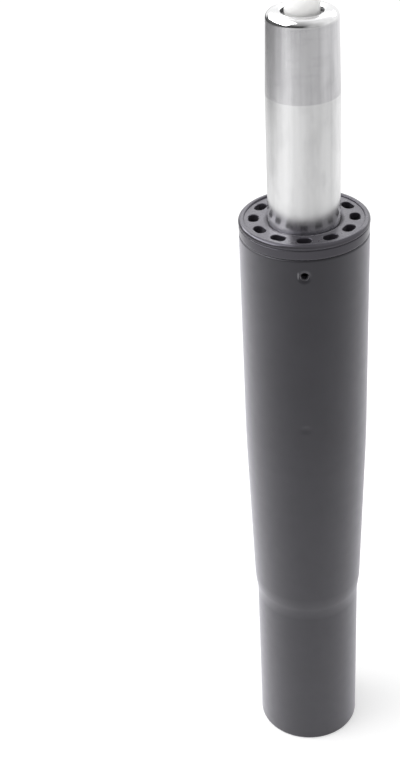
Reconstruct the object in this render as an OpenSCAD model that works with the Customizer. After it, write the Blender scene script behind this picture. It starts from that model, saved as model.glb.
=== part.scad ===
// Chair gas lift cylinder: a tapered column tube with a guide bush, and a gas spring
// that slides in the bush, turns on a ball bearing in the foot and is released by a button.

/* [Column tube] */
// Outside diameter of the column tube
tube_d = 50.8; // [50:0.1:54]
// Wall of the column tube
tube_wall = 2; // [1.6:0.1:2.4]
// Height of the column tube from its foot to its top edge
tube_h = 257.5; // [250:0.5:300]
// Outside diameter of the straight tail
tail_d = 45; // [44:0.1:46.5]
// Height of the tail up to the neck
tail_h = 75; // [60:0.5:85]
// Height of the neck between the tail and the base taper
neck_h = 12.5; // [8:0.5:16]
// Height of the base taper
base_taper_h = 74; // [60:0.5:74]
// Half angle of the base taper and the seat taper, 1 degree 26 minutes 16 seconds
taper_angle = 1.4378; // [1:0.0001:1.6]
// Outside bend radius of the rolled foot
foot_bend = 0.8; // [0.4:0.1:1.4]
// Diameter of the opening in the rolled foot
foot_open_d = 32; // [28:0.5:33]
// Bevel round the top edge of the tube, and round the edge of the bush that meets it
edge_bevel = 0.4; // [0.2:0.1:0.8]
// Diameter of the hole that locks the guide bush
lock_hole_d = 3.4; // [2.8:0.1:4.2]
// Diameter of the punched edge round the locking hole
lock_lead_d = 6; // [5:0.1:7]
// Depth of the punched edge round the locking hole
lock_lead_depth = 0.9; // [0.5:0.1:1.2]
// Drop of the locking hole below the top edge of the tube
lock_hole_drop = 7; // [5:0.5:10]
// Height of the staking dimple above the foot
dimple_h = 180.5; // [170:0.5:200]
// Depth of the staking dimple
dimple_depth = 0.25; // [0.1:0.05:0.5]
// Radius of the ball-ended punch that stakes the dimple
dimple_punch_r = 8; // [4:0.5:12]

/* [Guide bush] */
// Gap between the top of the base taper and the lower end of the bush
bush_gap = 1; // [0.5:0.5:20]
// Height of the band between the tube and the groove
band_h = 3.9; // [3:0.1:6]
// Height of the groove under the rim
groove_h = 0.6; // [0.3:0.05:0.8]
// Depth of the groove under the rim
groove_depth = 0.5; // [0.2:0.05:1]
// Radius of the rounded rim
rim_r = 1.7; // [1:0.1:2.2]
// How far the rim stands proud of the tube
rim_proud = 0.15; // [0:0.05:0.5]
// Drop of the head's flat below the rim
flat_drop = 0.65; // [0.3:0.05:1]
// Length of the bearing land at each end of the bore
land_len = 24; // [15:0.5:30]
// Depth of the relief between the lands
relief_depth = 0.6; // [0.3:0.1:1]
// Radius of the rounded mouth of the bore
mouth_round = 2.2; // [1:0.1:2.8]
// Bevel at the lower end of the bush
bush_lead = 1; // [0.5:0.1:1.5]
// Number of cored slots
slot_count = 12; // [8:1:14]
// Wall between the slots and the outside of the bush
slot_wall = 1.77; // [1.2:0.01:2.2]
// Radial width of a slot
slot_w = 4.1; // [3:0.1:4.4]
// Length of a slot over its round ends
slot_len = 6.1; // [5:0.1:7.5]
// Floor left under the slots
slot_floor = 12; // [6:0.5:30]

/* [Stem] */
// Outside diameter of the stem
stem_d = 28; // [27.6:0.1:29]
// Wall of the stem
stem_wall = 1.5; // [1.2:0.1:1.8]
// Height of the stem above the bush, as drawn
stem_show = 80.8; // [75:0.1:100]
// Height of the seat taper with its rounded shoulder
seat_taper_h = 30.5; // [28:0.5:34]
// Outside bend radius of the rolled top edge
crown_bend = 2.5; // [2:0.1:4]
// Diameter of the mouth in the rolled top edge
mouth_d = 15.6; // [15:0.1:17]
// Radius of the rounded edge of the mouth
lip_round = 0.6; // [0.3:0.1:1]
// Outside bend radius of the rolled lower end
heel_bend = 3; // [2.5:0.1:4]
// Diameter of the opening in the rolled lower end
heel_open_d = 18; // [16:0.1:19]
// Full stroke of the lift
stroke = 120; // [80:1:125]
// Height of the stem above its lowest point, as drawn
drawn_rise = 45; // [30:0.5:50]

/* [Foot bearing] */
// Thickness of the bottom disc
disc_t = 3; // [2:0.1:4]
// Height of the raised middle of the disc above its seat
disc_rise = 10; // [9:0.5:12]
// Bevel round the lower edge of the disc
disc_bevel = 0.5; // [0.3:0.1:1]
// Diameter of the recess under the raised middle
disc_recess_d = 26; // [24:0.5:28]
// Outside diameter of the bearing races
race_d = 24; // [23:0.5:26]
// Thickness of a bearing race
race_t = 2; // [1.5:0.1:3]
// Depth of the ball track in a race
track_depth = 0.5; // [0.3:0.05:0.8]
// Diameter of a ball
ball_d = 4; // [3.5:0.1:4.5]
// Number of balls
ball_count = 8; // [6:1:9]
// Gap between the cage and the journal
cage_gap = 0.75; // [0.5:0.05:1.2]
// Thickness of the ball cage
cage_t = 2; // [1.5:0.1:2.4]
// Rim of the cage on each side of the ball holes
cage_rim = 1.2; // [0.8:0.1:1.4]
// Outside diameter of the rubber buffer
buffer_d = 22; // [20:0.5:23]
// Height of the rubber buffer
buffer_h = 12; // [8:0.5:16]
// Depth of the waist round the buffer
buffer_waist = 1.5; // [0.5:0.1:2.5]

/* [Rod] */
// Diameter of the piston rod
rod_d = 10; // [9.6:0.1:10.4]
// Diameter of the rod's turned ends
journal_d = 8; // [7.6:0.1:8.4]
// Depth of the groove for the clip
clip_groove = 1; // [0.6:0.1:1.4]
// Outside diameter of the clip
clip_d = 15; // [14:0.5:17]
// Thickness of the clip
clip_t = 1; // [0.8:0.1:1.2]
// Outside diameter of the clip washer
clip_washer_d = 18; // [16:0.5:20]
// Thickness of the clip washer
clip_washer_t = 1; // [0.8:0.1:1.4]
// Length of the rod below the clip
rod_tip = 2.5; // [1.5:0.1:3]
// Bevel at the ends of the rod
rod_bevel = 0.8; // [0.4:0.1:1.2]

/* [Stem lower end] */
// Height of the end washer's rim above its bevel
end_washer_rim = 0.5; // [0.3:0.1:2]
// Height of the rod guide
guide_h = 12; // [8:0.5:16]
// Height of the rod seal
seal_h = 7; // [5:0.5:9]
// Depth of the channel between the seal's lips
seal_channel = 4; // [2:0.1:4.5]
// Height of the seat ring's flange
seat_flange_h = 4; // [3:0.1:6]
// Height of the seat ring's spigot
seat_spigot_h = 4; // [3:0.1:6]
// Width and depth of the gas channels in the seat ring
channel = 2; // [1:0.1:2.5]
// Number of gas channels and gas ports
port_count = 4; // [2:1:6]
// Outside diameter of the inner tube
liner_d = 22; // [21.6:0.1:22.4]
// Wall of the inner tube
liner_wall = 1; // [0.8:0.1:1.2]

/* [Piston] */
// Thickness of the stop washer
stop_t = 2; // [1.5:0.1:3]
// Outside diameter of the stop washer
stop_d = 17; // [15:0.5:18]
// Height of the piston
piston_h = 10; // [8:0.5:14]
// Height of the piston seal
piston_seal_h = 4; // [3.5:0.1:5]
// Radial depth of the piston seal
piston_seal_w = 2; // [1.5:0.1:2.4]
// Thickness of the piston washer
piston_washer_t = 1.5; // [1:0.1:2]
// Outside diameter of the piston washer
piston_washer_d = 15; // [14:0.5:17]
// Width of the piston nut across its flats
nut_af = 13; // [12:0.5:14]
// Height of the piston nut
nut_h = 6.5; // [5:0.1:8]
// Length of the rod above the nut
rod_end = 2; // [1:0.1:3]

/* [Valve] */
// Thickness of the top washer
top_washer_t = 4; // [3:0.1:5]
// Drop of the valve body's flange below the seat taper
flange_drop = 2; // [1:0.1:5]
// Height of the valve body's flange
body_flange_h = 12; // [9:0.1:14]
// Height of the gas gallery between the flange and the inner tube
gallery_h = 7; // [5:0.1:9]
// Height of the spigot in the inner tube
spigot_h = 12; // [10:0.1:16]
// Floor of the valve body under the lower pin seal
body_floor = 3; // [2:0.1:4]
// Diameter of the pocket for the pin seals
pocket_d = 11; // [10.6:0.1:12]
// Height of the seals round the valve body
body_seal_h = 4; // [3.5:0.1:5]
// Radial depth of the seals round the valve body
body_seal_w = 1.6; // [1.2:0.1:1.7]
// Height of a pin seal
pin_seal_h = 3; // [2.6:0.1:3.6]
// Diameter of the gas ports
port_d = 2.4; // [1.5:0.1:3]
// Height of the ported sleeve
port_sleeve_h = 19; // [17:0.1:20]
// Gap round the valve pin that lets the gas through the floor of the valve body
flow_gap = 0.5; // [0.3:0.05:1]
// Diameter of the valve pin
pin_d = 6; // [5.6:0.1:6.2]
// Diameter of the waist of the valve pin
pin_waist_d = 4.4; // [3.5:0.1:5]
// Length of the waist of the valve pin
pin_waist_h = 14; // [10:0.1:14]
// Diameter of the collar at the foot of the valve pin
pin_collar_d = 9; // [8:0.1:10]
// Height of the collar at the foot of the valve pin
pin_collar_h = 3.7; // [2:0.1:5]

/* [Release button] */
// Diameter of the button
button_d = 13; // [12:0.1:13.4]
// Height of the button above the stem
button_show = 7.5; // [6:0.1:9]
// Travel of the button
press = 4; // [3:0.1:4.5]
// Length of the button below the top washer
button_skirt = 5; // [4.6:0.1:6]
// Radius of the button's rounded edge
button_round = 1.6; // [0.5:0.1:2.5]
// Depth of the pin's socket in the button
socket_depth = 10; // [6:0.1:13]

/* [Fits] */
// Radial clearance of a running or sliding fit
running = 0.05; // [0.02:0.01:0.1]
// Radial clearance of pieces that are assembled and stay put
seated = 0.03; // [0.02:0.01:0.05]
// Room left where a stop is reached
touch = 0.3; // [0.2:0.05:0.5]
// Radial clearance where nothing rubs
free = 0.3; // [0.15:0.05:0.4]

/* [Hidden] */
$fn = 96;
// Steps of the curve that blends the neck
neck_steps = 8;
// Overlap of cutting shapes past the faces that they cut
past = 1;

// Column tube
taper = tan(taper_angle);
tube_r = tube_d / 2;
tube_in_r = tube_r - tube_wall;
tail_r = tail_d / 2;
tail_in_r = tail_r - tube_wall;
taper_low = tail_h + neck_h;
taper_high = taper_low + base_taper_h;
taper_low_r = tube_r - base_taper_h * taper;
lock_hole_h = tube_h - lock_hole_drop;
lock_lead_slope = (lock_lead_d - lock_hole_d) / 2 / lock_lead_depth;

// Guide bush
bush_low = taper_high + bush_gap;
groove_low = tube_h + band_h;
rim_low = groove_low + groove_h;
head_top = rim_low + rim_r;
head_flat = head_top - flat_drop;
rim_out_r = tube_r + rim_proud;
rim_crest_r = rim_out_r - rim_r;
sleeve_r = tube_in_r - seated;
stem_r = stem_d / 2;
bore_r = stem_r + running;
relief_low = bush_low + land_len;
mouth_low = head_flat - mouth_round;
relief_high = mouth_low - land_len;
slot_low = bush_low + slot_floor;
slot_pitch_r = sleeve_r - slot_wall - slot_w / 2;
slot_straight = slot_len - slot_w;

// Foot bearing, from the foot up
disc_low = tube_wall;
disc_top = disc_low + disc_rise;
disc_under = disc_top - disc_t;
disc_r = tail_in_r - seated;
rod_r = rod_d / 2;
journal_r = journal_d / 2;
ball_r = ball_d / 2;
ball_pitch_r = journal_r + cage_gap + cage_rim + running + ball_r;
lower_race_top = disc_top + race_t;
ball_h = lower_race_top - track_depth + running + ball_r;
upper_race_low = ball_h + ball_r + running - track_depth;
upper_race_top = upper_race_low + race_t;
buffer_top = upper_race_top + buffer_h;
clip_washer_low = disc_under - clip_washer_t;
clip_low = clip_washer_low - clip_t;
clip_groove_r = journal_r - clip_groove;
rod_low = clip_low - rod_tip;

// Stem
stem_top = head_top + stem_show;
stem_low = buffer_top + touch + drawn_rise;
stem_in_r = stem_r - stem_wall;
seat_taper_low = stem_top - seat_taper_h;
crown_h = stem_top - crown_bend;
crown_r = stem_r - (crown_h - seat_taper_low) * taper;
mouth_r = mouth_d / 2;
fill_r = stem_in_r - seated;

// Lower end of the stem, from its rolled edge up
end_washer_low = stem_low + stem_wall;
end_washer_bevel = heel_bend - stem_wall;
guide_low = end_washer_low + end_washer_bevel + end_washer_rim;
seal_low = guide_low + guide_h;
seat_low = seal_low + seal_h;
liner_low = seat_low + seat_flange_h;
seat_top = liner_low + seat_spigot_h;
liner_r = liner_d / 2;
liner_in_r = liner_r - liner_wall;
rod_hole_r = rod_r + running;

// Piston, above the top of the stroke
piston_shoulder = seat_top + stroke - drawn_rise + touch;
piston_low = piston_shoulder + stop_t;
piston_top = piston_low + piston_h;
piston_seal_low = piston_low + (piston_h - piston_seal_h) / 2;
piston_r = liner_in_r - running;
nut_low = piston_top + piston_washer_t;
rod_top = nut_low + nut_h + rod_end;
journal_hole_r = journal_r + seated;

// Valve, from the top of the stem down
top_washer_top = stem_top - stem_wall - seated;
body_top = top_washer_top - top_washer_t;
flange_top = seat_taper_low - flange_drop;
flange_low = flange_top - body_flange_h;
liner_top = flange_low - gallery_h;
body_low = liner_top - spigot_h;
pin_r = pin_d / 2;
pin_hole_r = pin_r + running;
flow_r = pin_r + flow_gap;
pocket_r = pocket_d / 2;
pocket_low = body_low + body_floor;
port_sleeve_low = pocket_low + pin_seal_h;
upper_seal_low = port_sleeve_low + port_sleeve_h;
gland_low = upper_seal_low + pin_seal_h;
port_h = liner_top + gallery_h / 2;
body_seal_low = flange_low + (body_flange_h - body_seal_h) / 2;
liner_seal_low = body_low + (spigot_h - body_seal_h) / 2;
spigot_r = liner_in_r - seated;

// Release button and valve pin
button_r = button_d / 2;
button_top = stem_top + button_show;
button_low = body_top - button_skirt;
button_bore_r = button_r + free;
button_floor = button_low - press - touch;
pin_top = button_low + socket_depth;
pin_low = body_low - touch - pin_collar_h;
pin_waist_low = port_sleeve_low + running + press / 2;

// Solid of revolution from an outline of radius and height
module turned(outline) {
    rotate_extrude() polygon(outline);
}

// Plain ring
module ring(inner, outer, low, high) {
    turned([[inner, low], [outer, low], [outer, high], [inner, high]]);
}

// Drill for the locking hole, from inside the bush's front slot out past the tube
module lock_drill() {
    translate([0, -slot_pitch_r, lock_hole_h])
        rotate([90, 0, 0]) cylinder(d = lock_hole_d, h = tube_r + past - slot_pitch_r);
}

// Section of a quarter bend, centred where the bend's centre lies
module quarter(outer, inner, up) {
    intersection() {
        difference() {
            circle(outer);
            circle(inner);
        }
        translate([0, up ? 0 : -outer]) square(outer);
    }
}

// Seal squeezed flat on its inner and outer faces, round above and below
module squeezed_seal(inner, outer, low, high) {
    half = (outer - inner) / 2;
    rotate_extrude() {
        translate([inner, low + half]) square([2 * half, high - low - 2 * half]);
        for (h = [low + half, high - half]) {
            translate([inner + half, h]) circle(half);
        }
    }
}

// Holes on lines from the axis outwards, at one height
module radial_holes(count, d, height, reach) {
    for (i = [0:count - 1]) {
        rotate([0, 90, i * 360 / count]) translate([-height, 0, 0]) cylinder(d = d, h = reach);
    }
}

// Height and radius along the neck, easing out of the tail and into the taper
function neck_point(t, inset) =
    [tail_r + (taper_low_r - tail_r) * t * t * (3 - 2 * t) - inset, tail_h + neck_h * t];

// Black column tube, drawn to its tapers and rolled in at the foot
module outer_tube() {
    up = [for (i = [0:neck_steps]) neck_point(i / neck_steps, 0)];
    down = [for (i = [neck_steps:-1:0]) neck_point(i / neck_steps, tube_wall)];
    color("#2b2b2e") difference() {
        rotate_extrude() {
            polygon(concat(
                [[tail_r, foot_bend]], up,
                [
                    [tube_r, taper_high], [tube_r, tube_h - edge_bevel], [tube_r - edge_bevel, tube_h],
                    [tube_in_r, tube_h], [tube_in_r, taper_high]
                ],
                down,
                [[tail_in_r, foot_bend]]
            ));
            translate([tail_r - foot_bend, foot_bend]) quarter(foot_bend, 0, false);
            translate([foot_open_d / 2, 0]) square([tail_r - foot_bend - foot_open_d / 2, tube_wall]);
        }
        lock_drill();
        translate([0, lock_lead_depth - tube_r, lock_hole_h]) rotate([90, 0, 0]) cylinder(
            d1 = lock_hole_d, d2 = lock_hole_d + 2 * (lock_lead_depth + past) * lock_lead_slope,
            h = lock_lead_depth + past
        );
        translate([0, dimple_depth - tube_r - dimple_punch_r, dimple_h]) sphere(dimple_punch_r);
    }
}

// One cored slot with round ends, lying square to the radius
module slot_outline() {
    translate([slot_pitch_r, 0]) {
        square([slot_w, slot_straight], center = true);
        for (side = [-1, 1]) {
            translate([0, side * slot_straight / 2]) circle(slot_w / 2);
        }
    }
}

// Moulded guide bush with a beaded rim, cored slots, two bearing lands and a hole for locking
module guide_bush() {
    color("#3a393d") difference() {
        rotate_extrude() {
            difference() {
                polygon([
                    [bore_r, bush_low], [sleeve_r - bush_lead, bush_low],
                    [sleeve_r, bush_low + bush_lead], [sleeve_r, tube_h],
                    [tube_r - edge_bevel, tube_h], [tube_r, tube_h + edge_bevel], [tube_r, groove_low],
                    [tube_r - groove_depth, groove_low], [tube_r - groove_depth, rim_low],
                    [rim_crest_r, rim_low], [rim_crest_r, head_flat],
                    [bore_r + mouth_round, head_flat], [bore_r + mouth_round, mouth_low], [bore_r, mouth_low]
                ]);
                polygon([
                    [bore_r, relief_low], [bore_r + relief_depth, relief_low + relief_depth],
                    [bore_r + relief_depth, relief_high - relief_depth], [bore_r, relief_high],
                    [bore_r - past, relief_high], [bore_r - past, relief_low]
                ]);
            }
            translate([rim_crest_r, rim_low]) quarter(rim_r, 0, true);
            translate([rim_crest_r, head_flat]) mirror([1, 0]) quarter(flat_drop, 0, true);
            translate([bore_r + mouth_round, mouth_low]) mirror([1, 0]) quarter(mouth_round, 0, true);
        }
        for (i = [0:slot_count - 1]) {
            rotate(i * 360 / slot_count - 90) translate([0, 0, slot_low])
                linear_extrude(head_top - slot_low + past) slot_outline();
        }
        lock_drill();
    }
}

// Pressed disc that the rolled foot holds, raised in the middle over the clip
module bottom_disc() {
    recess_r = disc_recess_d / 2;
    color("#a9abae") turned([
        [journal_r + free, disc_under], [recess_r, disc_under], [recess_r, disc_low],
        [disc_r - disc_bevel, disc_low], [disc_r, disc_low + disc_bevel], [disc_r, disc_low + disc_t],
        [recess_r + disc_t, disc_low + disc_t], [recess_r + disc_t, disc_top], [journal_r + free, disc_top]
    ]);
}

// Thrust washer with a rounded ball track
module race(low) {
    difference() {
        ring(journal_r + running, race_d / 2, low, low + race_t);
        rotate_extrude() translate([ball_pitch_r, ball_h]) circle(ball_r + running);
    }
}

module lower_race() {
    color("#b8babd") race(disc_top);
}

module upper_race() {
    color("#b8babd") race(upper_race_low);
}

// Flat ring with a hole for each ball
module ball_cage() {
    hole_r = ball_r + running;
    color("#c9a24a") difference() {
        ring(
            ball_pitch_r - hole_r - cage_rim, ball_pitch_r + hole_r + cage_rim,
            ball_h - cage_t / 2, ball_h + cage_t / 2
        );
        for (i = [0:ball_count - 1]) {
            rotate(i * 360 / ball_count) translate([ball_pitch_r, 0, ball_h])
                cylinder(r = hole_r, h = cage_t + past, center = true);
        }
    }
}

module bearing_balls() {
    color("#d5d7da") for (i = [0:ball_count - 1]) {
        rotate(i * 360 / ball_count) translate([ball_pitch_r, 0, ball_h]) sphere(ball_r);
    }
}

// Rubber stop for the stem, drawn in at its waist
module rubber_buffer() {
    waist_r = buffer_d / 2 - buffer_waist;
    color("#1e1e20") turned([
        [rod_hole_r, upper_race_top], [buffer_d / 2, upper_race_top],
        [buffer_d / 2, upper_race_top + buffer_h / 4], [waist_r, upper_race_top + buffer_h / 2],
        [buffer_d / 2, upper_race_top + buffer_h * 3 / 4],
        [buffer_d / 2, buffer_top], [rod_hole_r, buffer_top]
    ]);
}

// Ground rod with a turned end for the foot bearing and one for the piston
module piston_rod() {
    color("#d9dbde") turned([
        [0, rod_low], [journal_r - rod_bevel, rod_low], [journal_r, rod_low + rod_bevel],
        [journal_r, clip_low - seated], [clip_groove_r, clip_low - seated],
        [clip_groove_r, clip_washer_low + seated], [journal_r, clip_washer_low + seated],
        [journal_r, upper_race_top], [rod_r, upper_race_top],
        [rod_r, piston_shoulder], [journal_r, piston_shoulder],
        [journal_r, rod_top - rod_bevel], [journal_r - rod_bevel, rod_top], [0, rod_top]
    ]);
}

module clip_washer() {
    color("#a9abae") ring(journal_r + running, clip_washer_d / 2, clip_washer_low, disc_under);
}

// Snap clip, open on one side, with two spring eyes
module rod_clip() {
    inner_r = clip_groove_r + seated;
    eye_r = journal_r + (clip_d / 2 - journal_r) / 2;
    color("#7d7f83") translate([0, 0, clip_low]) linear_extrude(clip_t) difference() {
        circle(d = clip_d);
        circle(inner_r);
        translate([0, -inner_r]) square([clip_d, 2 * inner_r]);
        for (a = [-1, 1]) {
            rotate(180 + a * 60) translate([eye_r, 0]) circle((clip_d / 2 - journal_r) / 4);
        }
    }
}

module stop_washer() {
    color("#8f9296") ring(journal_hole_r, stop_d / 2, piston_shoulder, piston_low);
}

// Piston with a groove for its seal
module piston() {
    floor_r = piston_r - piston_seal_w;
    color("#c9a24a") turned([
        [journal_hole_r, piston_low], [piston_r, piston_low], [piston_r, piston_seal_low],
        [floor_r, piston_seal_low], [floor_r, piston_seal_low + piston_seal_h],
        [piston_r, piston_seal_low + piston_seal_h], [piston_r, piston_top], [journal_hole_r, piston_top]
    ]);
}

module piston_seal() {
    color("#1e1e20") squeezed_seal(
        piston_r - piston_seal_w + seated, piston_r + running - seated,
        piston_seal_low + seated, piston_seal_low + piston_seal_h - seated
    );
}

module piston_washer() {
    color("#a9abae") ring(journal_hole_r, piston_washer_d / 2, piston_top, nut_low);
}

module piston_nut() {
    color("#a9abae") translate([0, 0, nut_low]) linear_extrude(nut_h) difference() {
        circle(d = nut_af / cos(30), $fn = 6);
        circle(journal_hole_r);
    }
}

// Bright stem: the gas spring's pressure tube, tapered for the seat and rolled in at both ends
module pressure_tube() {
    heel_h = stem_low + heel_bend;
    heel_r = stem_r - heel_bend;
    lip_r = crown_r - crown_bend;
    color("#d2d3d6") rotate_extrude() {
        polygon([
            [stem_r, heel_h], [stem_r, seat_taper_low], [crown_r, crown_h],
            [crown_r - stem_wall, crown_h], [stem_in_r, seat_taper_low], [stem_in_r, heel_h]
        ]);
        translate([heel_r, heel_h]) quarter(heel_bend, heel_bend - stem_wall, false);
        translate([heel_open_d / 2, stem_low]) square([heel_r - heel_open_d / 2, stem_wall]);
        translate([lip_r, crown_h]) quarter(crown_bend, crown_bend - stem_wall, true);
        translate([mouth_r + lip_round, stem_top - stem_wall]) square([lip_r - mouth_r - lip_round, stem_wall]);
        translate([mouth_r, stem_top - stem_wall]) square([lip_round, stem_wall - lip_round]);
        translate([mouth_r + lip_round, stem_top - lip_round]) mirror([1, 0]) quarter(lip_round, 0, true);
    }
}

// Washer behind the rolled lower end, bevelled to clear the bend
module end_washer() {
    color("#a9abae") turned([
        [rod_r + free, end_washer_low], [fill_r - end_washer_bevel, end_washer_low],
        [fill_r, end_washer_low + end_washer_bevel], [fill_r, guide_low], [rod_r + free, guide_low]
    ]);
}

module rod_guide() {
    color("#e4e1d8") ring(rod_hole_r, fill_r, guide_low, seal_low);
}

// Lip seal, open to the gas
module rod_seal() {
    lip = (fill_r - rod_hole_r) / 4;
    middle = (fill_r + rod_hole_r) / 2;
    color("#1e1e20") turned([
        [rod_hole_r, seal_low], [fill_r, seal_low], [fill_r, seat_low], [fill_r - lip, seat_low],
        [middle, seat_low - seal_channel], [rod_hole_r + lip, seat_low], [rod_hole_r, seat_low]
    ]);
}

// Ring that the inner tube stands on, with channels for the gas
module seat_ring() {
    color("#e4e1d8") difference() {
        turned([
            [rod_r + free, seat_low], [fill_r, seat_low], [fill_r, liner_low], [spigot_r, liner_low],
            [spigot_r, seat_top], [rod_r + free, seat_top]
        ]);
        for (i = [0:port_count - 1]) {
            rotate(i * 360 / port_count) translate([0, -channel / 2, liner_low - channel])
                cube([stem_r, channel, channel]);
        }
    }
}

module inner_tube() {
    color("#c4c6c9") ring(liner_in_r, liner_r, liner_low, liner_top);
}

// Valve body: neck in the taper, sealed flange, gas gallery, and a spigot in the inner tube
module valve_body() {
    neck_r = crown_r - stem_wall - free;
    flange_groove_r = fill_r - body_seal_w;
    spigot_groove_r = spigot_r - body_seal_w;
    color("#b4b7bb") difference() {
        turned([
            [flow_r, body_low], [spigot_r, body_low],
            [spigot_r, liner_seal_low], [spigot_groove_r, liner_seal_low],
            [spigot_groove_r, liner_seal_low + body_seal_h], [spigot_r, liner_seal_low + body_seal_h],
            [spigot_r, liner_top], [liner_r, liner_top], [liner_r, flange_low], [fill_r, flange_low],
            [fill_r, body_seal_low], [flange_groove_r, body_seal_low],
            [flange_groove_r, body_seal_low + body_seal_h], [fill_r, body_seal_low + body_seal_h],
            [fill_r, flange_top], [neck_r, flange_top], [neck_r, body_top], [button_bore_r, body_top],
            [button_bore_r, button_floor], [pocket_r, button_floor],
            [pocket_r, pocket_low], [flow_r, pocket_low]
        ]);
        radial_holes(port_count, port_d, port_h, stem_r);
    }
}

module body_seal() {
    color("#1e1e20") squeezed_seal(
        fill_r - body_seal_w + seated, fill_r,
        body_seal_low + seated, body_seal_low + body_seal_h - seated
    );
}

module liner_seal() {
    color("#1e1e20") squeezed_seal(
        spigot_r - body_seal_w + seated, spigot_r,
        liner_seal_low + seated, liner_seal_low + body_seal_h - seated
    );
}

module pin_seals() {
    color("#1e1e20") for (low = [pocket_low, upper_seal_low]) {
        squeezed_seal(pin_hole_r, pocket_r - seated, low, low + pin_seal_h);
    }
}

// Sleeve that keeps the pin seals apart and lets the gas through
module port_sleeve() {
    color("#c9a24a") difference() {
        ring(pin_hole_r, pocket_r - seated, port_sleeve_low, upper_seal_low);
        radial_holes(port_count, port_d, port_h, stem_r);
    }
}

module gland_sleeve() {
    color("#e4e1d8") ring(pin_hole_r, pocket_r - seated, gland_low, button_floor);
}

// Washer under the rolled top edge, rounded to follow the bend
module top_washer() {
    lip_r = crown_r - crown_bend;
    round_r = crown_bend - stem_wall - seated;
    color("#a9abae") rotate_extrude() {
        translate([button_bore_r, body_top]) square([lip_r - button_bore_r, top_washer_t]);
        translate([lip_r, body_top]) square([round_r, crown_h - body_top]);
        translate([lip_r, crown_h]) quarter(round_r, 0, true);
    }
}

// Pin with a waist that lets the gas past the lower seal when it is pushed
module valve_pin() {
    collar_r = pin_collar_d / 2;
    waist_r = pin_waist_d / 2;
    slope = pin_r - waist_r;
    color("#d9dbde") turned([
        [0, pin_low], [collar_r, pin_low],
        [collar_r, pin_low + pin_collar_h], [pin_r, pin_low + pin_collar_h],
        [pin_r, pin_waist_low], [waist_r, pin_waist_low + slope],
        [waist_r, pin_waist_low + pin_waist_h - slope], [pin_r, pin_waist_low + pin_waist_h],
        [pin_r, pin_top], [0, pin_top]
    ]);
}

// White button with a rounded top, pushed onto the pin
module release_button() {
    socket_r = pin_r + seated;
    round_h = button_top - button_round;
    color("#f4f2ec") rotate_extrude() {
        translate([socket_r, button_low]) square([button_r - socket_r, pin_top + seated - button_low]);
        translate([0, pin_top + seated]) square([button_r, round_h - pin_top - seated]);
        translate([0, round_h]) square([button_r - button_round, button_round]);
        translate([button_r - button_round, round_h]) quarter(button_round, 0, true);
    }
}

outer_tube();
guide_bush();
bottom_disc();
lower_race();
ball_cage();
bearing_balls();
upper_race();
rubber_buffer();
piston_rod();
clip_washer();
rod_clip();
stop_washer();
piston();
piston_seal();
piston_washer();
piston_nut();
pressure_tube();
end_washer();
rod_guide();
rod_seal();
seat_ring();
inner_tube();
valve_body();
body_seal();
liner_seal();
pin_seals();
port_sleeve();
gland_sleeve();
top_washer();
valve_pin();
release_button();
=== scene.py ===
import math

import bmesh
import bpy
from mathutils import Matrix, Vector


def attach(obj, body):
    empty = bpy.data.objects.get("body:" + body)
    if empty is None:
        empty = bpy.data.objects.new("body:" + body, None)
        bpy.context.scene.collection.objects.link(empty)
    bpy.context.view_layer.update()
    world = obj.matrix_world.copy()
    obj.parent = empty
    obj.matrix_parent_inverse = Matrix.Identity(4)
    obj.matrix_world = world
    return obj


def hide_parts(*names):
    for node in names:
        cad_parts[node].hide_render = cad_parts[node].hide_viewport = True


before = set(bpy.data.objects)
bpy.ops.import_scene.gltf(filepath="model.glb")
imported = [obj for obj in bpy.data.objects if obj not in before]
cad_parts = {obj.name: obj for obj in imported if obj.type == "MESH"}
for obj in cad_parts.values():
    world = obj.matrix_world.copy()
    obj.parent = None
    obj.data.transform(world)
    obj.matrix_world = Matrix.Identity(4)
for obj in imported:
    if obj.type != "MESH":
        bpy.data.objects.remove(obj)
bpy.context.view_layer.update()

# Column tube: a seamless steel tube, drawn down to the base taper and the tail, with its foot rolled in.
# It is powder coated satin black after forming. A hole punched near its top edge locks the guide bush.
MM = 0.001
TURN_STEPS = 192
EDGE_ANGLE = math.radians(32)
MERGE_DIST, SAME_PLACE = 1e-7, 1e-6
scene = bpy.context.scene


def turned(outline, closed=True, steps=TURN_STEPS):
    """Spin an outline of radius and height in millimetres once round the axis."""
    bm = bmesh.new()
    points = [bm.verts.new((r * MM, 0, z * MM)) for r, z in outline]
    pairs = list(zip(points, points[1:]))
    if closed:
        pairs.append((points[-1], points[0]))
    edges = [bm.edges.new(pair) for pair in pairs]
    bmesh.ops.spin(
        bm, geom=points + edges, cent=(0, 0, 0), axis=(0, 0, 1), angle=2 * math.pi, steps=steps,
        use_merge=True,
    )
    bmesh.ops.remove_doubles(bm, verts=bm.verts, dist=MERGE_DIST)
    bmesh.ops.recalc_face_normals(bm, faces=bm.faces)
    return bm


def round_corner(bm, corner, size, segments):
    """Round one turned corner, given by its radius and height, with a bend of this size."""
    r, z = (value * MM for value in corner)
    edges = [
        e for e in bm.edges
        if all(abs(v.co.z - z) < SAME_PLACE and abs(v.co.xy.length - r) < SAME_PLACE for v in e.verts)
    ]
    bmesh.ops.bevel(
        bm, geom=edges, offset=size * MM, offset_type="OFFSET", segments=segments, profile=0.5,
        affect="EDGES", material=-1, clamp_overlap=True,
    )


def cut_rows(bm, heights):
    """Cut level rows of edges through the whole shape."""
    for z in heights:
        geom = bm.verts[:] + bm.edges[:] + bm.faces[:]
        bmesh.ops.bisect_plane(bm, geom=geom, dist=MERGE_DIST, plane_co=(0, 0, z * MM), plane_no=(0, 0, 1))


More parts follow.
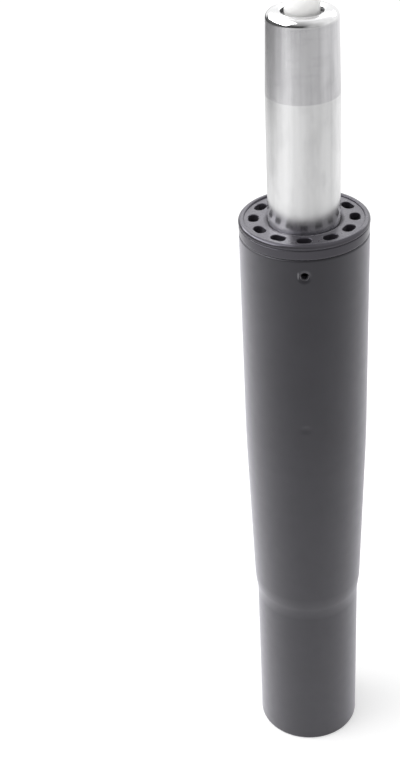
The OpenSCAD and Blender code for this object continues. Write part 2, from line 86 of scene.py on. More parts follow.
def make_piece(bm, name, body, slot, finish, *nodes):
    """Make the piece that stands for these CAD nodes and rides on their body."""
    mesh = bpy.data.meshes.new(name)
    bm.to_mesh(mesh)
    bm.free()
    mesh.materials.append(finish)
    mesh.shade_smooth()
    mesh.set_sharp_from_angle(angle=EDGE_ANGLE)
    piece = bpy.data.objects.new(name, mesh)
    scene.collection.objects.link(piece)
    even = piece.modifiers.new("even_normals", "WEIGHTED_NORMAL")
    even.keep_sharp = True
    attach(piece, body)
    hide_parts(*nodes)


def new_finish(name):
    """A new material, its nodes and its shader."""
    finish = bpy.data.materials.new(name)
    finish.use_nodes = True
    return finish, finish.node_tree, finish.node_tree.nodes["Principled BSDF"]


def add_node(tree, kind, values=None, **settings):
    """Add a node, with its settings, and values or links for its inputs."""
    node = tree.nodes.new(kind)
    for name, value in settings.items():
        setattr(node, name, value)
    for socket, value in (values or {}).items():
        if isinstance(value, bpy.types.NodeSocket):
            tree.links.new(value, node.inputs[socket])
        else:
            node.inputs[socket].default_value = value
    return node


def vector_calc(tree, operation, first, second=(0, 0, 0), output="Vector"):
    """One sum of two vectors, each given or a link, that gives a vector or a value."""
    node = add_node(tree, "ShaderNodeVectorMath", {0: first, 1: second}, operation=operation)
    return node.outputs[output]


def place_on(tree):
    """Where a point lies, in the piece's own coordinates."""
    return add_node(tree, "ShaderNodeTexCoord").outputs["Object"]


def grain(tree, scale, stretch=(1, 1, 1), detail=2.0):
    """Noise on the object's own coordinates, in features per metre, stretched along the axes."""
    mapped = add_node(tree, "ShaderNodeMapping", {"Vector": place_on(tree), "Scale": stretch})
    noise = add_node(
        tree, "ShaderNodeTexNoise", {"Vector": mapped.outputs["Vector"], "Scale": scale, "Detail": detail}
    )
    return noise.outputs["Fac"]


def between(tree, fac, low, high, start=0.3, end=0.7):
    """Go from one number to another while a value goes from start to end, which suit a noise."""
    spread = add_node(
        tree, "ShaderNodeMapRange",
        {"Value": fac, "From Min": start, "From Max": end, "To Min": low, "To Max": high},
    )
    return spread.outputs["Result"]


def blend_colours(tree, fac, first, second):
    """Mix two colours, each a value or a link, through the colour sockets of a mix node."""
    mix = add_node(tree, "ShaderNodeMix", {"Factor": fac}, data_type="RGBA")
    for socket, colour in ((mix.inputs[6], first), (mix.inputs[7], second)):
        if isinstance(colour, bpy.types.NodeSocket):
            tree.links.new(colour, socket)
        else:
            socket.default_value = (*colour, 1)
    return mix.outputs[2]


def mottled(tree, pattern, first, second):
    """A colour that wanders between two shades with a noise."""
    return blend_colours(tree, between(tree, pattern, 0, 1), first, second)


def paint(tree, shader, colour, roughness, metallic=0.0):
    """Give a shader its colour and roughness, each a link, and say how far it is metal."""
    tree.links.new(colour, shader.inputs["Base Color"])
    tree.links.new(roughness, shader.inputs["Roughness"])
    shader.inputs["Metallic"].default_value = metallic


def relief(tree, shader, height, depth, strength):
    """Give a shader a fine relief of this depth in millimetres."""
    bump = add_node(
        tree, "ShaderNodeBump", {"Height": height, "Distance": depth * MM, "Strength": strength}
    )
    tree.links.new(bump.outputs["Normal"], shader.inputs["Normal"])


wall = 2.0
foot_open_r, tail_r, neck_r, tube_r = 16.0, 22.5, 23.465, 25.4
neck_low, neck_high, taper_top, tube_top = 78.1, 84.4, 161.5, 257.5
tail_bore_r, neck_bore_r, tube_bore_r = tail_r - wall, neck_r - wall, tube_r - wall
foot_lip_round, foot_round, foot_inner_round = 0.4, 0.8, 0.3
neck_bend, taper_bend = 3.05, 6.0
top_round, bore_round = 0.8, 0.2
hole_r, hole_z = 1.7, 250.5
lead_rings = [(3.1, 0.0), (2.9, 0.02), (2.7, 0.07), (1.8, 0.34), (hole_r, 0.44)]
# Where the painted highlight beside the locking hole lies, and how far it reaches
glint_middle = Vector((-2.4, -tube_r, hole_z + 0.55)) * MM
glint_size = Vector((0.42, 3.0, 1.75)) * MM
dimple_z, dimple_reach, dimple_depth = 180.5, 2.6, 0.25

# A painted highlight: the coat is painted paler beside the left edge of the hole, where a glint shows
column_coat, tree, shader = new_finish("column_coat")
black = mottled(tree, grain(tree, 60), (0.0082, 0.0079, 0.0099), (0.0116, 0.0112, 0.014))
from_glint = vector_calc(tree, "SUBTRACT", place_on(tree), glint_middle)
glint_far = vector_calc(tree, "LENGTH", vector_calc(tree, "DIVIDE", from_glint, glint_size), output="Value")
painted_glint = between(tree, glint_far, 1, 0, start=0.5, end=1.1)
coat_shade = blend_colours(tree, painted_glint, black, (0.13, 0.13, 0.135))
paint(tree, shader, coat_shade, between(tree, grain(tree, 220), 0.4, 0.48))
shader.inputs["Specular IOR Level"].default_value = 0.52
shader.inputs["Specular Tint"].default_value = (0.935, 0.915, 1, 1)
shader.inputs["Sheen Weight"].default_value = 0.9
shader.inputs["Sheen Roughness"].default_value = 0.45
shader.inputs["Sheen Tint"].default_value = (0.945, 0.93, 1, 1)
relief(tree, shader, grain(tree, 1100, detail=3.0), 0.012, 0.5)

outline = [
    (foot_open_r, 0), (tail_r, 0), (tail_r, neck_low), (neck_r, neck_high), (tube_r, taper_top),
    (tube_r, tube_top), (tube_bore_r, tube_top), (tube_bore_r, taper_top), (neck_bore_r, neck_high),
    (tail_bore_r, neck_low), (tail_bore_r, wall), (foot_open_r, wall),
]
bm = turned(outline)
round_corner(bm, (foot_open_r, 0), foot_lip_round, segments=3)
round_corner(bm, (tail_r, 0), foot_round, segments=6)
round_corner(bm, (tail_bore_r, wall), foot_inner_round, segments=2)
for shift in (0, wall):
    round_corner(bm, (tail_r - shift, neck_low), neck_bend, segments=10)
    round_corner(bm, (neck_r - shift, neck_high), neck_bend, segments=10)
    round_corner(bm, (tube_r - shift, taper_top), taper_bend, segments=6)
round_corner(bm, (tube_r, tube_top), top_round, segments=6)
round_corner(bm, (tube_bore_r, tube_top), bore_round, segments=2)

# The locking hole: a square patch of faces is opened on each side of the wall, and its edge is drawn in
# to rings, down the punched lead and then through the wall
patch_cells = 4
patch_angle = patch_cells * 2 * math.pi / TURN_STEPS
patch_half = tube_r * math.sin(patch_angle)
patch_rows = [hole_z + patch_half * i / patch_cells for i in range(-patch_cells, patch_cells + 1)]
wall_band = 0.1


def patch_faces(bm, low_r, high_r):
    """The faces of one wall round the locking hole, between two radii."""
    def near_hole(face):
        middle = face.calc_center_median() / MM
        across = abs(math.atan2(middle.x, -middle.y))
        level = abs(middle.z - hole_z)
        return across < patch_angle and level < patch_half and low_r < middle.xy.length < high_r

    return [f for f in bm.faces if near_hole(f)]


def open_patch(bm, faces):
    """Take faces away and give the edge of the opening."""
    rim = [e for e in {e for f in faces for e in f.edges} if sum(f in faces for f in e.link_faces) == 1]
    bmesh.ops.delete(bm, geom=faces, context="FACES")
    return rim


def open_wall(bm, radius):
    """Open a round wall where the locking hole passes through it."""
    return open_patch(bm, patch_faces(bm, radius - wall_band, radius + wall_band))


def draw_ring(bm, edges, radius, wall_at):
    """Draw the edge of an opening in to a ring of this radius on a wall, which gives y for each x."""
    made = bmesh.ops.extrude_edge_only(bm, edges=edges)["geom"]
    for v in (g for g in made if isinstance(g, bmesh.types.BMVert)):
        turn = math.atan2(v.co.z - hole_z * MM, v.co.x)
        x = radius * math.cos(turn)
        v.co = Vector((x, wall_at(x), hole_z + radius * math.sin(turn))) * MM
    return [g for g in made if isinstance(g, bmesh.types.BMEdge)]


def round_wall(radius):
    """The front of a round wall."""
    return lambda x: -math.sqrt(radius ** 2 - x ** 2)


cut_rows(bm, patch_rows)
outside = open_wall(bm, tube_r)
inside = open_wall(bm, tube_bore_r)
for ring_r, depth in lead_rings:
    outside = draw_ring(bm, outside, ring_r, round_wall(tube_r - depth))
inside = draw_ring(bm, inside, hole_r, round_wall(tube_bore_r))
bmesh.ops.bridge_loops(bm, edges=outside + inside)

# A staking dimple is pushed into the outside of the wall
dimple_cells = 4
cut_rows(bm, [dimple_z + dimple_reach * i / dimple_cells for i in range(-dimple_cells, dimple_cells + 1)])
mid_wall_r = tube_r - wall / 2
for v in bm.verts:
    apart = math.hypot(v.co.x, v.co.z - dimple_z * MM) / (dimple_reach * MM)
    if v.co.y < 0 and apart < 1 and v.co.xy.length > mid_wall_r * MM:
        v.co.y += dimple_depth * MM * (1 - apart ** 2) ** 2
bmesh.ops.recalc_face_normals(bm, faces=bm.faces)
make_piece(bm, "column_tube", "column", "column_coat", column_coat, "outer_tube")


# Foot disc: a pressed steel disc, zinc plated, that the rolled foot holds in the tail.
# Its middle is raised over the clip, so that the rod's end stays clear of the floor.
def height_on(tree):
    """How high a point of the piece lies, in metres."""
    return add_node(tree, "ShaderNodeSeparateXYZ", {"Vector": place_on(tree)}).outputs["Z"]


# The closing washer in the stem's mouth has the same plating, with painted shade: it is painted dark above
# 339 mm, where it lies in the mouth
washer_shade_low, washer_shade_high = 339, 341
zinc_plate, tree, shader = new_finish("zinc_plate")
cloudy = mottled(tree, grain(tree, 160, detail=4.0), (0.5, 0.51, 0.53), (0.62, 0.62, 0.61))
painted_washer_shade = between(tree, height_on(tree), 0, 1, start=washer_shade_low * MM, end=washer_shade_high * MM)
zinc_shade = blend_colours(tree, painted_washer_shade, cloudy, (0.12, 0.12, 0.123))
paint(tree, shader, zinc_shade, between(tree, grain(tree, 700), 0.3, 0.44), metallic=1.0)
relief(tree, shader, grain(tree, 1500), 0.006, 0.4)

disc_hole_r, recess_r, step_r, disc_r = 4.3, 13.0, 16.0, 20.47
disc_low, disc_bevel, disc_step, disc_floor, disc_top = 2.0, 0.5, 5.0, 9.0, 12.0
press_bend, press_edge, step_bend, hole_round = 1.2, 1.0, 0.8, 0.3
disc_steps = 96
outline = [
    (disc_hole_r, disc_floor), (recess_r, disc_floor), (recess_r, disc_low), (disc_r - disc_bevel, disc_low),
    (disc_r, disc_low + disc_bevel), (disc_r, disc_step), (step_r, disc_step), (step_r, disc_top),
    (disc_hole_r, disc_top),
]
bm = turned(outline, steps=disc_steps)
round_corner(bm, (recess_r, disc_floor), press_bend, segments=5)
round_corner(bm, (recess_r, disc_low), press_edge, segments=5)
round_corner(bm, (step_r, disc_top), press_bend, segments=5)
round_corner(bm, (step_r, disc_step), step_bend, segments=4)
round_corner(bm, (disc_hole_r, disc_floor), hole_round, segments=2)
make_piece(bm, "foot_disc", "column", "zinc_plate", zinc_plate, "bottom_disc")


# Foot bearing: two hardened race washers with a ring of balls between them in a brass cage.
# The balls turn the seat freely, and the cage goes round at half the rod's speed.
def dress(finish, *nodes):
    """Give CAD nodes that stay as they are their finish."""
    for node in nodes:
        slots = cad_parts[node].data.materials
        slots.clear()
        slots.append(finish)


bearing_steel, tree, shader = new_finish("bearing_steel")
steel_shade = mottled(tree, grain(tree, 300), (0.6, 0.61, 0.63), (0.68, 0.69, 0.71))
steel_polish = between(tree, grain(tree, 900, (1, 1, 4)), 0.12, 0.2)
paint(tree, shader, steel_shade, steel_polish, metallic=1.0)
dress(bearing_steel, "lower_race", "upper_race", "bearing_balls")

brass, tree, shader = new_finish("brass")
brass_shade = mottled(tree, grain(tree, 250), (0.56, 0.4, 0.15), (0.66, 0.49, 0.2))
brass_turning = between(tree, grain(tree, 1200, (0.1, 0.1, 1)), 0.22, 0.36)
paint(tree, shader, brass_shade, brass_turning, metallic=1.0)
dress(brass, "ball_cage", "piston", "port_sleeve")

# Rod, clip and buffer: the ground and chromed rod stands on the bearing, and a spring clip holds it there.
# Zinc plated washers and a nut hold its piston. A moulded rubber buffer round its foot stops the stem at the
# bottom of its stroke, and the gas seals are of the same rubber.
rod_chrome, tree, shader = new_finish("rod_chrome")
rod_shade = mottled(tree, grain(tree, 500, (1, 1, 0.05)), (0.66, 0.67, 0.69), (0.73, 0.74, 0.76))
rod_grinding = between(tree, grain(tree, 2500, (0.05, 0.05, 1)), 0.08, 0.16)
paint(tree, shader, rod_shade, rod_grinding, metallic=1.0)
dress(rod_chrome, "piston_rod", "valve_pin")

clip_steel, tree, shader = new_finish("clip_steel")
clip_shade = mottled(tree, grain(tree, 400), (0.16, 0.16, 0.17), (0.26, 0.26, 0.27))
paint(tree, shader, clip_shade, between(tree, grain(tree, 900), 0.35, 0.5), metallic=0.9)
dress(clip_steel, "rod_clip")
dress(zinc_plate, "clip_washer", "stop_washer", "piston_washer", "piston_nut", "end_washer", "top_washer")

seal_rubber, tree, shader = new_finish("seal_rubber")
rubber_shade = mottled(tree, grain(tree, 350), (0.016, 0.016, 0.018), (0.026, 0.026, 0.028))
paint(tree, shader, rubber_shade, between(tree, grain(tree, 1300), 0.55, 0.7))
relief(tree, shader, grain(tree, 2600), 0.01, 0.4)
dress(seal_rubber, "rubber_buffer", "piston_seal", "rod_seal", "body_seal", "liner_seal", "pin_seals")


# Guide bush: a black glass-filled moulding pressed into the top of the tube, which guides the stem.
# Twelve cored slots keep its walls even, and a bead stands round the edge of its head.
def radius_on(tree):
    """How far a point of the piece lies from the axis, in metres."""
    across = vector_calc(tree, "MULTIPLY", place_on(tree), (1, 1, 0))
    return vector_calc(tree, "LENGTH", across, output="Value")


def blend_values(tree, fac, first, second):
    """Mix two values, each a number or a link, through the value sockets of a mix node."""
    return add_node(tree, "ShaderNodeMix", {0: fac, 2: first, 3: second}).outputs[0]


# The side of the head is smoother than its top, and its colour is painted a little paler there as painted
# sheen
side_low_r, side_high_r, side_rough = 24.5, 25.1, 0.12
bush_plastic, tree, shader = new_finish("bush_plastic")
fleck = mottled(tree, grain(tree, 1400, detail=4.0), (0.023, 0.0212, 0.0258), (0.032, 0.0295, 0.036))
on_side = between(tree, radius_on(tree), 0, 1, start=side_low_r * MM, end=side_high_r * MM)
bush_shade = blend_colours(tree, on_side, fleck, (0.042, 0.0402, 0.0444))
head_rough = between(tree, grain(tree, 500), 0.26, 0.34)
paint(tree, shader, bush_shade, blend_values(tree, on_side, head_rough, side_rough))
shader.inputs["IOR"].default_value = 1.55
shader.inputs["Sheen Weight"].default_value = 0.45
shader.inputs["Sheen Roughness"].default_value = 0.35
shader.inputs["Sheen Tint"].default_value = (0.94, 0.92, 1, 1)
shader.inputs["Specular Tint"].default_value = (0.88, 0.85, 1, 1)
relief(tree, shader, grain(tree, 2400), 0.01, 0.15)

stem_bore_r = 14.05
bush_low, sleeve_r, sleeve_lead = 162.5, 23.37, 1.0
band_top, groove_r, groove_top = 261.4, 25.05, 262.0
rim_r, rim_in_r, head_top, head_flat = 25.55, 23.2, 263.7, 263.05
relief_r, relief_low, relief_high, relief_slope = 14.65, 186.5, 236.85, 0.6
band_low_round, band_high_round = 0.8, 0.32
bead_low_round, bead_round, bead_in_round = 0.3, 1.68, 0.63
recess_round, mouth_round = 0.3, 2.2
outline = [
    (stem_bore_r, bush_low), (sleeve_r - sleeve_lead, bush_low), (sleeve_r, bush_low + sleeve_lead),
    (sleeve_r, tube_top), (tube_r, tube_top), (tube_r, band_top), (groove_r, band_top),
    (groove_r, groove_top), (rim_r, groove_top), (rim_r, head_top), (rim_in_r, head_top),
    (rim_in_r, head_flat), (stem_bore_r, head_flat), (stem_bore_r, relief_high),
    (relief_r, relief_high - relief_slope), (relief_r, relief_low + relief_slope), (stem_bore_r, relief_low),
]
bm = turned(outline)
round_corner(bm, (tube_r, tube_top), band_low_round, segments=6)
round_corner(bm, (tube_r, band_top), band_high_round, segments=4)
round_corner(bm, (rim_r, groove_top), bead_low_round, segments=4)
round_corner(bm, (rim_r, head_top), bead_round, segments=10)
round_corner(bm, (rim_in_r, head_top), bead_in_round, segments=6)
round_corner(bm, (rim_in_r, head_flat), recess_round, segments=3)
round_corner(bm, (stem_bore_r, head_flat), mouth_round, segments=10)

# The flat of the head is opened, each slot is drawn down from its rounded edge, and the flat is filled
# round them
facing_up = 0.999
head_faces = [
    f for f in bm.faces
    if f.normal.z > facing_up and abs(f.calc_center_median().z - head_flat * MM) < SAME_PLACE
]
head_rims = open_patch(bm, head_faces)
slot_count, slot_steps, slot_pitch_r = 12, 24, 19.55
slot_half_w, slot_half_straight = 2.05, 1.0
slot_edge, edge_steps = 0.35, 5
slot_floor = 174.5
bends = [math.pi / 2 * (step + 1) / edge_steps for step in range(edge_steps)]
levels = [(slot_edge * (1 - math.sin(bend)), slot_edge * (1 - math.cos(bend))) for bend in bends]
levels.append((0, head_flat - slot_floor))
half_step = Matrix.Rotation(math.pi / slot_steps, 4, "Z")
slot_tops = []
for i in range(slot_count):
    stand = Matrix.Rotation(i * 2 * math.pi / slot_count - math.pi / 2, 4, "Z") @ Matrix.Translation(
        (slot_pitch_r * MM, 0, head_flat * MM)
    )
    ring = bmesh.ops.create_circle(
        bm, segments=slot_steps, radius=(slot_half_w + slot_edge) * MM, matrix=half_step
    )["verts"]
    edges = list({e for v in ring for e in v.link_edges})
    slot_tops += edges
    for v in ring:
        v.co.y += math.copysign(slot_half_straight * MM, v.co.y)
    loops = [ring]
    for grow, down in levels:
        made = bmesh.ops.extrude_edge_only(bm, edges=edges)["geom"]
        ring = [g for g in made if isinstance(g, bmesh.types.BMVert)]
        edges = [g for g in made if isinstance(g, bmesh.types.BMEdge)]
        for v in ring:
            side = math.copysign(slot_half_straight * MM, v.co.y)
            offset = Vector((v.co.x, v.co.y - side)).normalized() * (slot_half_w + grow) * MM
            v.co = (offset.x, offset.y + side, -down * MM)
        loops.append(ring)
    bmesh.ops.contextual_create(bm, geom=edges)
    bmesh.ops.transform(bm, matrix=stand, verts=[v for loop in loops for v in loop])
bmesh.ops.triangle_fill(bm, use_beauty=True, edges=head_rims + slot_tops, normal=(0, 0, 1))


# The locking hole goes on through the wall between the sleeve and the front slot
def slot_wall(x):
    """The outer wall of the front slot."""
    return -slot_pitch_r - math.sqrt(slot_half_w ** 2 - max(0, abs(x) - slot_half_straight) ** 2)


cut_rows(bm, patch_rows)
slot_out_r = slot_pitch_r + slot_half_w
slot_patch_in, slot_patch_out, slot_patch_half = 0.3, 0.2, 2.5


def in_front_slot(face):
    """Whether a face of the slots' outer walls is in the front slot, close to the locking hole."""
    middle = face.calc_center_median()
    return abs(middle.x) < slot_half_w * MM and abs(middle.z - hole_z * MM) < slot_patch_half * MM


slot_patch = [
    f for f in patch_faces(bm, slot_out_r - slot_patch_in, slot_out_r + slot_patch_out) if in_front_slot(f)
]
outside = draw_ring(bm, open_wall(bm, sleeve_r), hole_r, round_wall(sleeve_r))
inside = draw_ring(bm, open_patch(bm, slot_patch), hole_r, slot_wall)
bmesh.ops.bridge_loops(bm, edges=outside + inside)
bmesh.ops.recalc_face_normals(bm, faces=bm.faces)
make_piece(bm, "stem_guide_bush", "column", "bush_plastic", bush_plastic, "guide_bush")

# Gas spring inside the stem: a rod guide and sleeves of natural acetal, a honed steel inner tube and a valve
# body turned from aluminium. They are dropped in from the top one after another, and the rolled edges of the
# stem close them in.
guide_plastic, tree, shader = new_finish("guide_plastic")
acetal_shade = mottled(tree, grain(tree, 200), (0.72, 0.7, 0.63), (0.79, 0.77, 0.71))
paint(tree, shader, acetal_shade, between(tree, grain(tree, 800), 0.4, 0.52))
dress(guide_plastic, "rod_guide", "seat_ring", "gland_sleeve")

liner_steel, tree, shader = new_finish("liner_steel")
liner_shade = mottled(tree, grain(tree, 600, (1, 1, 0.04)), (0.46, 0.47, 0.48), (0.57, 0.58, 0.59))
liner_honing = between(tree, grain(tree, 1500, (1, 1, 0.05)), 0.26, 0.38)
paint(tree, shader, liner_shade, liner_honing, metallic=1.0)
dress(liner_steel, "inner_tube")

valve_aluminium, tree, shader = new_finish("valve_aluminium")
turning = grain(tree, 3500, (0.03, 0.03, 1))
valve_shade = mottled(tree, turning, (0.55, 0.56, 0.58), (0.65, 0.66, 0.68))
paint(tree, shader, valve_shade, between(tree, turning, 0.26, 0.4), metallic=1.0)
dress(valve_aluminium, "valve_body")


# Stem: the gas spring's pressure tube, ground and chromed, with its top and bottom edges rolled in.
# The seat taper at its top is ground again after plating, so it is duller, with drag marks from the seat.
def calc(tree, operation, first, second):
    """One sum of two values or links."""
    return add_node(tree, "ShaderNodeMath", {0: first, 1: second}, operation=operation).outputs[0]


taper_low, crown_low = 314.0, 342.0
stem_low, stem_r, stem_wall = 76.4, 14.0, 1.5
stem_top, crown_r, crown_wall, lip_r = 344.5, 13.234, 1.46, 7.8
heel_r, heel_bend, heel_round = 9.0, 3.0, 0.3
crown_bend, crown_in_bend, lip_round, lip_low_round = 2.5, 1.0, 0.6, 0.2
taper_fade, crown_fade, taper_rough = 0.15, 0.4, 0.22
mouth_low_r, mouth_high_r = 7.85, 8.05
stem_bore, stem_floor, crown_ceiling = stem_r - stem_wall, stem_low + stem_wall, stem_top - stem_wall
crown_in_r = crown_r - crown_wall

stem_chrome, tree, shader = new_finish("stem_chrome")
height = height_on(tree)
above = between(tree, height, 0, 1, start=(taper_low - taper_fade) * MM, end=(taper_low + taper_fade) * MM)
below = between(tree, height, 1, 0, start=(crown_low - crown_fade) * MM, end=(crown_low + crown_fade) * MM)
on_taper = calc(tree, "MULTIPLY", above, below)
streaks = between(tree, grain(tree, 420, (1, 1, 0.035), detail=3.0), 0, 1)
bright = blend_colours(tree, streaks, (0.85, 0.85, 0.855), (0.92, 0.92, 0.925))
dull = blend_colours(tree, streaks, (0.67, 0.665, 0.682), (0.83, 0.825, 0.842))
dragged = between(tree, grain(tree, 420, (0.32, 0.32, 1), detail=3.0), 0, 0.17, start=0.52, end=0.72)
worn = blend_colours(tree, dragged, dull, (0.45, 0.445, 0.46))
clean = blend_colours(tree, on_taper, bright, worn)
handled = between(tree, grain(tree, 150, (1, 1, 0.45), detail=4.0), 0, 0.22, start=0.46, end=0.7)
smudged = blend_colours(tree, handled, clean, (0.42, 0.415, 0.43))
# Painted shade: the inner edge of the mouth is painted dark, where the gap round the button lies in shade
painted_mouth_shade = between(tree, radius_on(tree), 1, 0, start=mouth_low_r * MM, end=mouth_high_r * MM)
stem_shade = blend_colours(tree, painted_mouth_shade, smudged, (0.26, 0.26, 0.265))
grinding = between(tree, grain(tree, 2600, (0.04, 0.04, 1)), 0.0, 0.012)
stem_gloss = between(tree, below, 0.08, 0.18, start=0, end=1)
stem_rough = calc(tree, "ADD", grinding, blend_values(tree, on_taper, stem_gloss, taper_rough))
paint(tree, shader, stem_shade, stem_rough, metallic=1.0)
shader.inputs["Anisotropic"].default_value = 0.95
shader.inputs["Anisotropic Rotation"].default_value = 0.25
around = add_node(tree, "ShaderNodeTangent", direction_type="RADIAL", axis="Z")
tree.links.new(around.outputs["Tangent"], shader.inputs["Tangent"])

outline = [
    (heel_r, stem_low), (stem_r, stem_low), (stem_r, taper_low), (crown_r, stem_top), (lip_r, stem_top),
    (lip_r, crown_ceiling), (crown_in_r, crown_ceiling), (stem_bore, taper_low), (stem_bore, stem_floor),
    (heel_r, stem_floor),
]
bm = turned(outline)
round_corner(bm, (stem_r, stem_low), heel_bend, segments=8)
round_corner(bm, (crown_r, stem_top), crown_bend, segments=16)
round_corner(bm, (lip_r, stem_top), lip_round, segments=6)
round_corner(bm, (lip_r, crown_ceiling), lip_low_round, segments=2)
round_corner(bm, (crown_in_r, crown_ceiling), crown_in_bend, segments=6)
round_corner(bm, (heel_r, stem_low), heel_round, segments=2)
make_piece(bm, "stem_tube", "stem", "stem_chrome", stem_chrome, "pressure_tube")

# Release button: a warm white moulding pushed onto the valve pin, standing proud of the stem's mouth.
# Its top edge is rounded, and its skirt slides in the washer below.
button_plastic, tree, shader = new_finish("button_plastic")
button_shade = mottled(tree, grain(tree, 240), (0.9, 0.89, 0.865), (0.93, 0.92, 0.9))
paint(tree, shader, button_shade, between(tree, grain(tree, 900), 0.34, 0.42))
shader.inputs["Subsurface Weight"].default_value = 1.0
shader.inputs["Subsurface Radius"].default_value = (1, 1, 1)
shader.inputs["Subsurface Scale"].default_value = 0.012
relief(tree, shader, grain(tree, 2400), 0.004, 0.3)

button_r, button_low, button_top = 6.5, 333.97, 352.0
button_round, skirt_round, button_steps = 1.6, 0.3, 128
socket_r, socket_top = 3.03, 344.0
outline = [
    (0, button_top), (button_r, button_top), (button_r, button_low), (socket_r, button_low),
    (socket_r, socket_top), (0, socket_top),
]
bm = turned(outline, closed=False, steps=button_steps)
round_corner(bm, (button_r, button_top), button_round, segments=10)
round_corner(bm, (button_r, button_low), skirt_round, segments=2)
make_piece(bm, "button_cap", "button", "button_plastic", button_plastic, "release_button")


# Studio: a white sweep and a white surround, lit by a soft box from the left. Two more soft boxes, behind and
# at the left, show only in the gloss. The camera sees sweep and surround as white, and bright metal sees
# where the sweep ends and the dimmer room round the camera.
def along(tree, vector, direction):
    """How far a vector reaches along a direction."""
    return vector_calc(tree, "DOT_PRODUCT", vector, direction, output="Value")


def ray_kinds(tree):
    """Whether a ray comes from the camera, and whether it comes from a reflection or through glass."""
    paths = add_node(tree, "ShaderNodeLightPath").outputs
    return paths["Is Camera Ray"], calc(tree, "MAXIMUM", paths["Is Glossy Ray"], paths["Is Transmission Ray"])


# The sweep as bright metal sees it is a painted glow, not lit: brighter near the object, behind it and at the
# left, as if lit from there, and fading where its far part ends at the left and in front
floor_white, tree, shader = new_finish("floor_white")
tree.nodes.remove(shader)
seen, mirrored = ray_kinds(tree)
place = place_on(tree)
way = vector_calc(tree, "NORMALIZE", place)
reach = vector_calc(tree, "LENGTH", place, output="Value")
near_back = between(tree, along(tree, place, (0, 1, 0)), 0.52, 1.08, start=-0.6, end=-0.1)
near_left = between(tree, along(tree, place, (1, 0, 0)), 1.12, 0.84, start=-0.35, end=0.35)
near_sweep = calc(tree, "MULTIPLY", near_back, near_left)
left_glow = between(tree, along(tree, place, (-1, -0.15, 0)), 0.66, 1.02, start=-0.2, end=0.75)
backdrop = between(tree, along(tree, way, (0.5, 0.87, 0)), 0, 0.25, start=0.6, end=1.0)
left_end = between(tree, along(tree, place, (-0.926, 0.378, 0)), 1.0, 0.12, start=0.73, end=0.81)
fading = between(tree, reach, 1.0, 0.4, start=1.3, end=2.0)
right_back = between(tree, along(tree, way, (0.8, 0.6, 0)), 0, 1, start=0.0, end=0.5)
sweep_ends = calc(tree, "MULTIPLY", left_end, calc(tree, "MAXIMUM", fading, right_back))
far_sweep = calc(tree, "MULTIPLY", calc(tree, "ADD", left_glow, backdrop), sweep_ends)
sweep = blend_values(tree, between(tree, reach, 0, 1, start=0.42, end=0.56), near_sweep, far_sweep)
matt = add_node(tree, "ShaderNodeBsdfDiffuse", {"Color": (0.8, 0.8, 0.8, 1)})
seen_glow = calc(tree, "MULTIPLY", seen, 0.32)
mirrored_glow = calc(tree, "MULTIPLY", mirrored, 0.08)
glow = add_node(tree, "ShaderNodeEmission", {"Strength": calc(tree, "ADD", seen_glow, mirrored_glow)})
white = add_node(tree, "ShaderNodeAddShader", {0: matt.outputs[0], 1: glow.outputs[0]})
mirror_image = add_node(tree, "ShaderNodeEmission", {"Strength": sweep})
far = calc(tree, "MULTIPLY", mirrored, between(tree, reach, 0, 1, start=0.15, end=0.35))
both = add_node(tree, "ShaderNodeMixShader", {0: far, 1: white.outputs[0], 2: mirror_image.outputs[0]})
tree.links.new(both.outputs[0], tree.nodes["Material Output"].inputs["Surface"])
floor_white.cycles.emission_sampling = "NONE"

floor_half = 4
bm = bmesh.new()
bmesh.ops.create_grid(bm, x_segments=1, y_segments=1, size=floor_half)
mesh = bpy.data.meshes.new("floor")
bm.to_mesh(mesh)
bm.free()
mesh.materials.append(floor_white)
floor = bpy.data.objects.new("floor", mesh)
scene.collection.objects.link(floor)

# The surround: one plain level for the light on the object, and a dimmer room in the gloss
surround_level = 0.82
world = bpy.data.worlds.new("surround")
scene.world = world
world.use_nodes = True
world.cycles.sampling_method = "NONE"
tree = world.node_tree
seen, mirrored = ray_kinds(tree)
direction = add_node(tree, "ShaderNodeTexCoord").outputs["Generated"]
way = add_node(tree, "ShaderNodeSeparateXYZ", {"Vector": direction}).outputs
back_room = between(tree, way["Y"], 0.6, 1.0, start=0.0, end=0.4)
right_room = between(tree, way["X"], 0.6, 0.88, start=0.0, end=0.5)
camera_side = between(tree, way["Y"], 0.55, 1.0, start=-0.7, end=-0.1)
room = calc(tree, "MULTIPLY", calc(tree, "MAXIMUM", back_room, right_room), camera_side)
open_back = between(tree, along(tree, direction, (0.9, 1, 0)), 0, 1, start=0.1, end=0.5)
open_right = between(tree, way["X"], 0, 1, start=-0.1, end=0.4)
low_room = between(tree, way["Z"], 0.12, 1.0, start=0.3, end=0.62)
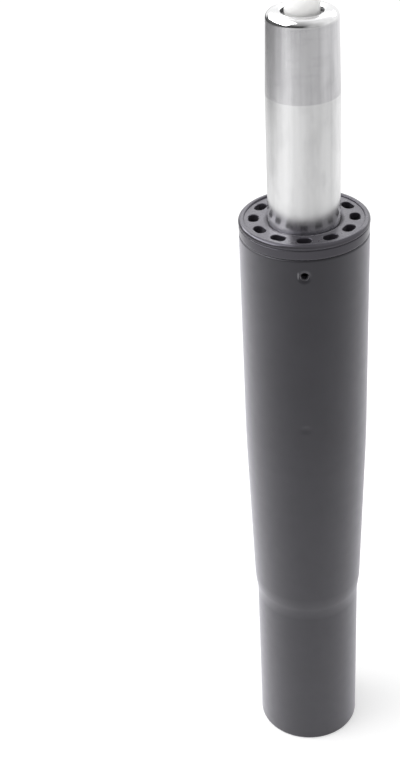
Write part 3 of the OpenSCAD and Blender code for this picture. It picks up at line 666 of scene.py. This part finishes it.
low = calc(tree, "MAXIMUM", low_room, calc(tree, "MAXIMUM", open_back, open_right))
in_gloss = blend_values(tree, mirrored, surround_level, calc(tree, "MULTIPLY", room, low))
surround = tree.nodes["Background"]
surround.inputs["Color"].default_value = (1, 1, 1, 1)
tree.links.new(blend_values(tree, seen, in_gloss, 1.0), surround.inputs["Strength"])


def soft_box(name, place, aim, width, height, watts):
    """An area lamp at a place, turned to a point, that the camera doesn't see."""
    light = bpy.data.lights.new(name, "AREA")
    light.shape = "RECTANGLE"
    light.size, light.size_y = width, height
    light.energy = watts
    lamp = bpy.data.objects.new(name, light)
    scene.collection.objects.link(lamp)
    lamp.location = place
    lamp.rotation_euler = (Vector(aim) - Vector(place)).to_track_quat("-Z", "Y").to_euler()
    lamp.visible_camera = False
    return lamp


soft_box("key", (-0.6, -0.05, 1.0), (0, 0, 0.12), width=0.9, height=0.9, watts=7)
back_light = soft_box("back_light", (-0.5, 2.0, 1.6), (-0.5, 0, 0.26), width=5.6, height=1.0, watts=40)
side_light = soft_box("side_light", (-1.47, 0.05, 1.33), (0, 0, 0.3), width=3.0, height=0.83, watts=36)
for lamp in (back_light, side_light):
    lamp.visible_diffuse = False

# Camera: close above the object, looking down along the stem, as in the photograph.
# Its place, its turns and its lens were fitted to the object's outline there.
camera_place = (0, -0.4883655, 0.5056449)
pan, tilt, roll = -0.0899, 0.5778, -0.0586
eye = bpy.data.cameras.new("eye")
eye.sensor_fit = "AUTO"
eye.sensor_width = 36
eye.lens = 65.40
eye.clip_start = 0.01
ahead = Vector((math.sin(pan) * math.cos(tilt), math.cos(pan) * math.cos(tilt), -math.sin(tilt)))
level = Vector((math.cos(pan), -math.sin(pan), 0))
upright = level.cross(ahead)
right = level * math.cos(roll) + upright * math.sin(roll)
up = upright * math.cos(roll) - level * math.sin(roll)
camera = bpy.data.objects.new("camera", eye)
scene.collection.objects.link(camera)
facing = Matrix((right, up, -ahead)).transposed().to_4x4()
camera.matrix_world = Matrix.Translation(camera_place) @ facing
scene.camera = camera
scene.view_settings.view_transform = "Standard"
